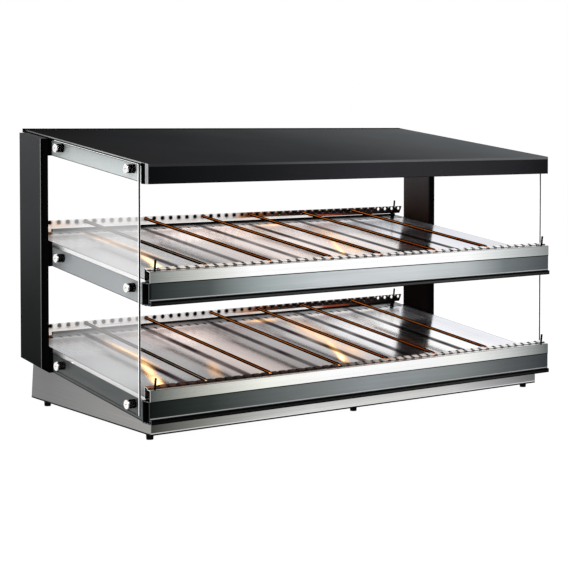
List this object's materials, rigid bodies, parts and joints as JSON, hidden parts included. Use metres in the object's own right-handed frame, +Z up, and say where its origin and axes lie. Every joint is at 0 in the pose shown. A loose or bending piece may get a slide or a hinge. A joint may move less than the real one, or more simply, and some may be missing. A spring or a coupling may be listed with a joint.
{
  "type": "heated pass-through display cabinet",
  "caption": "Sloping two-shelf heated display cabinet, open front and back, with glass sides, rod dividers, overhead heat and rear controls.",
  "frame": {"origin": "on the floor, in the middle of the overall footprint", "axes": "+X along the width, +Y from the customer side to the operator side, +Z up"},
  "size_m": [1.25, 0.6244, 0.6823],
  "materials": {
    "brushed_steel": "fine brushed stainless steel",
    "mirror_steel": "bright brushed stainless steel, nearly mirror",
    "zinc_sheet": "zinc-plated sheet",
    "polished_steel": "polished",
    "dark_steel": "dark steel",
    "black_paint": "black powder coat, semi-gloss",
    "ticket_strip": "glossy grey strip",
    "clear_glass": "clear toughened glass",
    "lamp_glass": "frosted glass",
    "rubber": "moulded rubber",
    "black_plastic": "moulded plastic",
    "rocker_plastic": "glossy moulded plastic",
    "white_plastic": "moulded plastic",
    "amber_lens": "translucent plastic",
    "bright_aluminium": "bright rolled sheet",
    "element_sheath": "dark heating element sheath",
    "heater_foil": "silicone heating mat"
  },
  "bodies": {
    "cabinet": {"base_pedestal": "brushed_steel", "base_bottom_pan": "zinc_sheet", "control_panel": "brushed_steel", "rubber_feet": "rubber", "switch_bodies": "black_plastic", "thermostat_bodies": "black_plastic", "indicator_lamps": "amber_lens", "cord_gland": "black_plastic", "terminal_block": "white_plastic", "left_post_outer_shell": "black_paint", "right_post_outer_shell": "black_paint", "post_inner_shells": "black_paint", "shelf_brackets": "black_paint", "left_pane": "clear_glass", "right_pane": "clear_glass", "standoff_caps": "polished_steel", "standoff_spacers": "black_plastic", "canopy_cover": "black_paint", "canopy_fascia": "black_paint", "canopy_frame": "brushed_steel", "canopy_reflector": "bright_aluminium", "upper_reflector": "bright_aluminium", "canopy_heating_element": "element_sheath", "upper_heating_element": "element_sheath", "element_clips": "zinc_sheet", "lamp_cups": "bright_aluminium", "lamp_lenses": "lamp_glass", "lamp_bulbs": "lamp_glass", "tray_heaters": "heater_foil", "corner_pins": "dark_steel", "lower_housing": "brushed_steel", "lower_tray": "mirror_steel", "lower_front_rail": "brushed_steel", "lower_rear_rail": "brushed_steel", "lower_ticket_profile": "black_paint", "lower_ticket_strip": "ticket_strip", "upper_housing": "brushed_steel", "upper_tray": "mirror_steel", "upper_front_rail": "brushed_steel", "upper_rear_rail": "brushed_steel", "upper_ticket_profile": "black_paint", "upper_ticket_strip": "ticket_strip"},
    "lower_divider_1": {"lower_divider_1": "polished_steel"},
    "lower_divider_2": {"lower_divider_2": "polished_steel"},
    "lower_divider_3": {"lower_divider_3": "polished_steel"},
    "lower_divider_4": {"lower_divider_4": "polished_steel"},
    "lower_divider_5": {"lower_divider_5": "polished_steel"},
    "lower_divider_6": {"lower_divider_6": "polished_steel"},
    "upper_divider_1": {"upper_divider_1": "polished_steel"},
    "upper_divider_2": {"upper_divider_2": "polished_steel"},
    "upper_divider_3": {"upper_divider_3": "polished_steel"},
    "upper_divider_4": {"upper_divider_4": "polished_steel"},
    "upper_divider_5": {"upper_divider_5": "polished_steel"},
    "upper_divider_6": {"upper_divider_6": "polished_steel"},
    "upper_tier_rocker": {"upper_tier_rocker": "rocker_plastic"},
    "lower_tier_rocker": {"lower_tier_rocker": "rocker_plastic"},
    "upper_thermostat": {"upper_thermostat_knob": "black_plastic", "upper_thermostat_shaft": "zinc_sheet"},
    "lower_thermostat": {"lower_thermostat_knob": "black_plastic", "lower_thermostat_shaft": "zinc_sheet"}
  },
  "joints": [
    {"name": "lower_divider_1_lift", "type": "hinge", "parent": "cabinet", "child": "lower_divider_1", "pos_m": [-0.45, 0.26595, 0.19231], "axis": [-1, 0, 0], "range_deg": [0, 15]},
    {"name": "lower_divider_2_lift", "type": "hinge", "parent": "cabinet", "child": "lower_divider_2", "pos_m": [-0.275, 0.26595, 0.19231], "axis": [-1, 0, 0], "range_deg": [0, 15]},
    {"name": "lower_divider_3_lift", "type": "hinge", "parent": "cabinet", "child": "lower_divider_3", "pos_m": [-0.075, 0.26595, 0.19231], "axis": [-1, 0, 0], "range_deg": [0, 15]},
    {"name": "lower_divider_4_lift", "type": "hinge", "parent": "cabinet", "child": "lower_divider_4", "pos_m": [0.075, 0.26595, 0.19231], "axis": [-1, 0, 0], "range_deg": [0, 15]},
    {"name": "lower_divider_5_lift", "type": "hinge", "parent": "cabinet", "child": "lower_divider_5", "pos_m": [0.225, 0.26595, 0.19231], "axis": [-1, 0, 0], "range_deg": [0, 15]},
    {"name": "lower_divider_6_lift", "type": "hinge", "parent": "cabinet", "child": "lower_divider_6", "pos_m": [0.4, 0.26595, 0.19231], "axis": [-1, 0, 0], "range_deg": [0, 15]},
    {"name": "upper_divider_1_lift", "type": "hinge", "parent": "cabinet", "child": "upper_divider_1", "pos_m": [-0.45, 0.26595, 0.44931], "axis": [-1, 0, 0], "range_deg": [0, 15]},
    {"name": "upper_divider_2_lift", "type": "hinge", "parent": "cabinet", "child": "upper_divider_2", "pos_m": [-0.275, 0.26595, 0.44931], "axis": [-1, 0, 0], "range_deg": [0, 15]},
    {"name": "upper_divider_3_lift", "type": "hinge", "parent": "cabinet", "child": "upper_divider_3", "pos_m": [-0.1, 0.26595, 0.44931], "axis": [-1, 0, 0], "range_deg": [0, 15]},
    {"name": "upper_divider_4_lift", "type": "hinge", "parent": "cabinet", "child": "upper_divider_4", "pos_m": [0.05, 0.26595, 0.44931], "axis": [-1, 0, 0], "range_deg": [0, 15]},
    {"name": "upper_divider_5_lift", "type": "hinge", "parent": "cabinet", "child": "upper_divider_5", "pos_m": [0.225, 0.26595, 0.44931], "axis": [-1, 0, 0], "range_deg": [0, 15]},
    {"name": "upper_divider_6_lift", "type": "hinge", "parent": "cabinet", "child": "upper_divider_6", "pos_m": [0.4, 0.26595, 0.44931], "axis": [-1, 0, 0], "range_deg": [0, 15]},
    {"name": "upper_tier_switch", "type": "hinge", "parent": "cabinet", "child": "upper_tier_rocker", "pos_m": [-0.3, 0.29137, 0.0611], "axis": [1, 0, 0], "range_deg": [0, 16]},
    {"name": "lower_tier_switch", "type": "hinge", "parent": "cabinet", "child": "lower_tier_rocker", "pos_m": [-0.41, 0.29137, 0.0611], "axis": [1, 0, 0], "range_deg": [0, 16]},
    {"name": "upper_thermostat_turn", "type": "hinge", "parent": "cabinet", "child": "upper_thermostat", "pos_m": [-0.35, 0.30129, 0.06232], "axis": [0, -0.9925, -0.1219], "range_deg": [0, 270]},
    {"name": "lower_thermostat_turn", "type": "hinge", "parent": "cabinet", "child": "lower_thermostat", "pos_m": [-0.46, 0.30129, 0.06232], "axis": [0, -0.9925, -0.1219], "range_deg": [0, 270]}
  ]
}
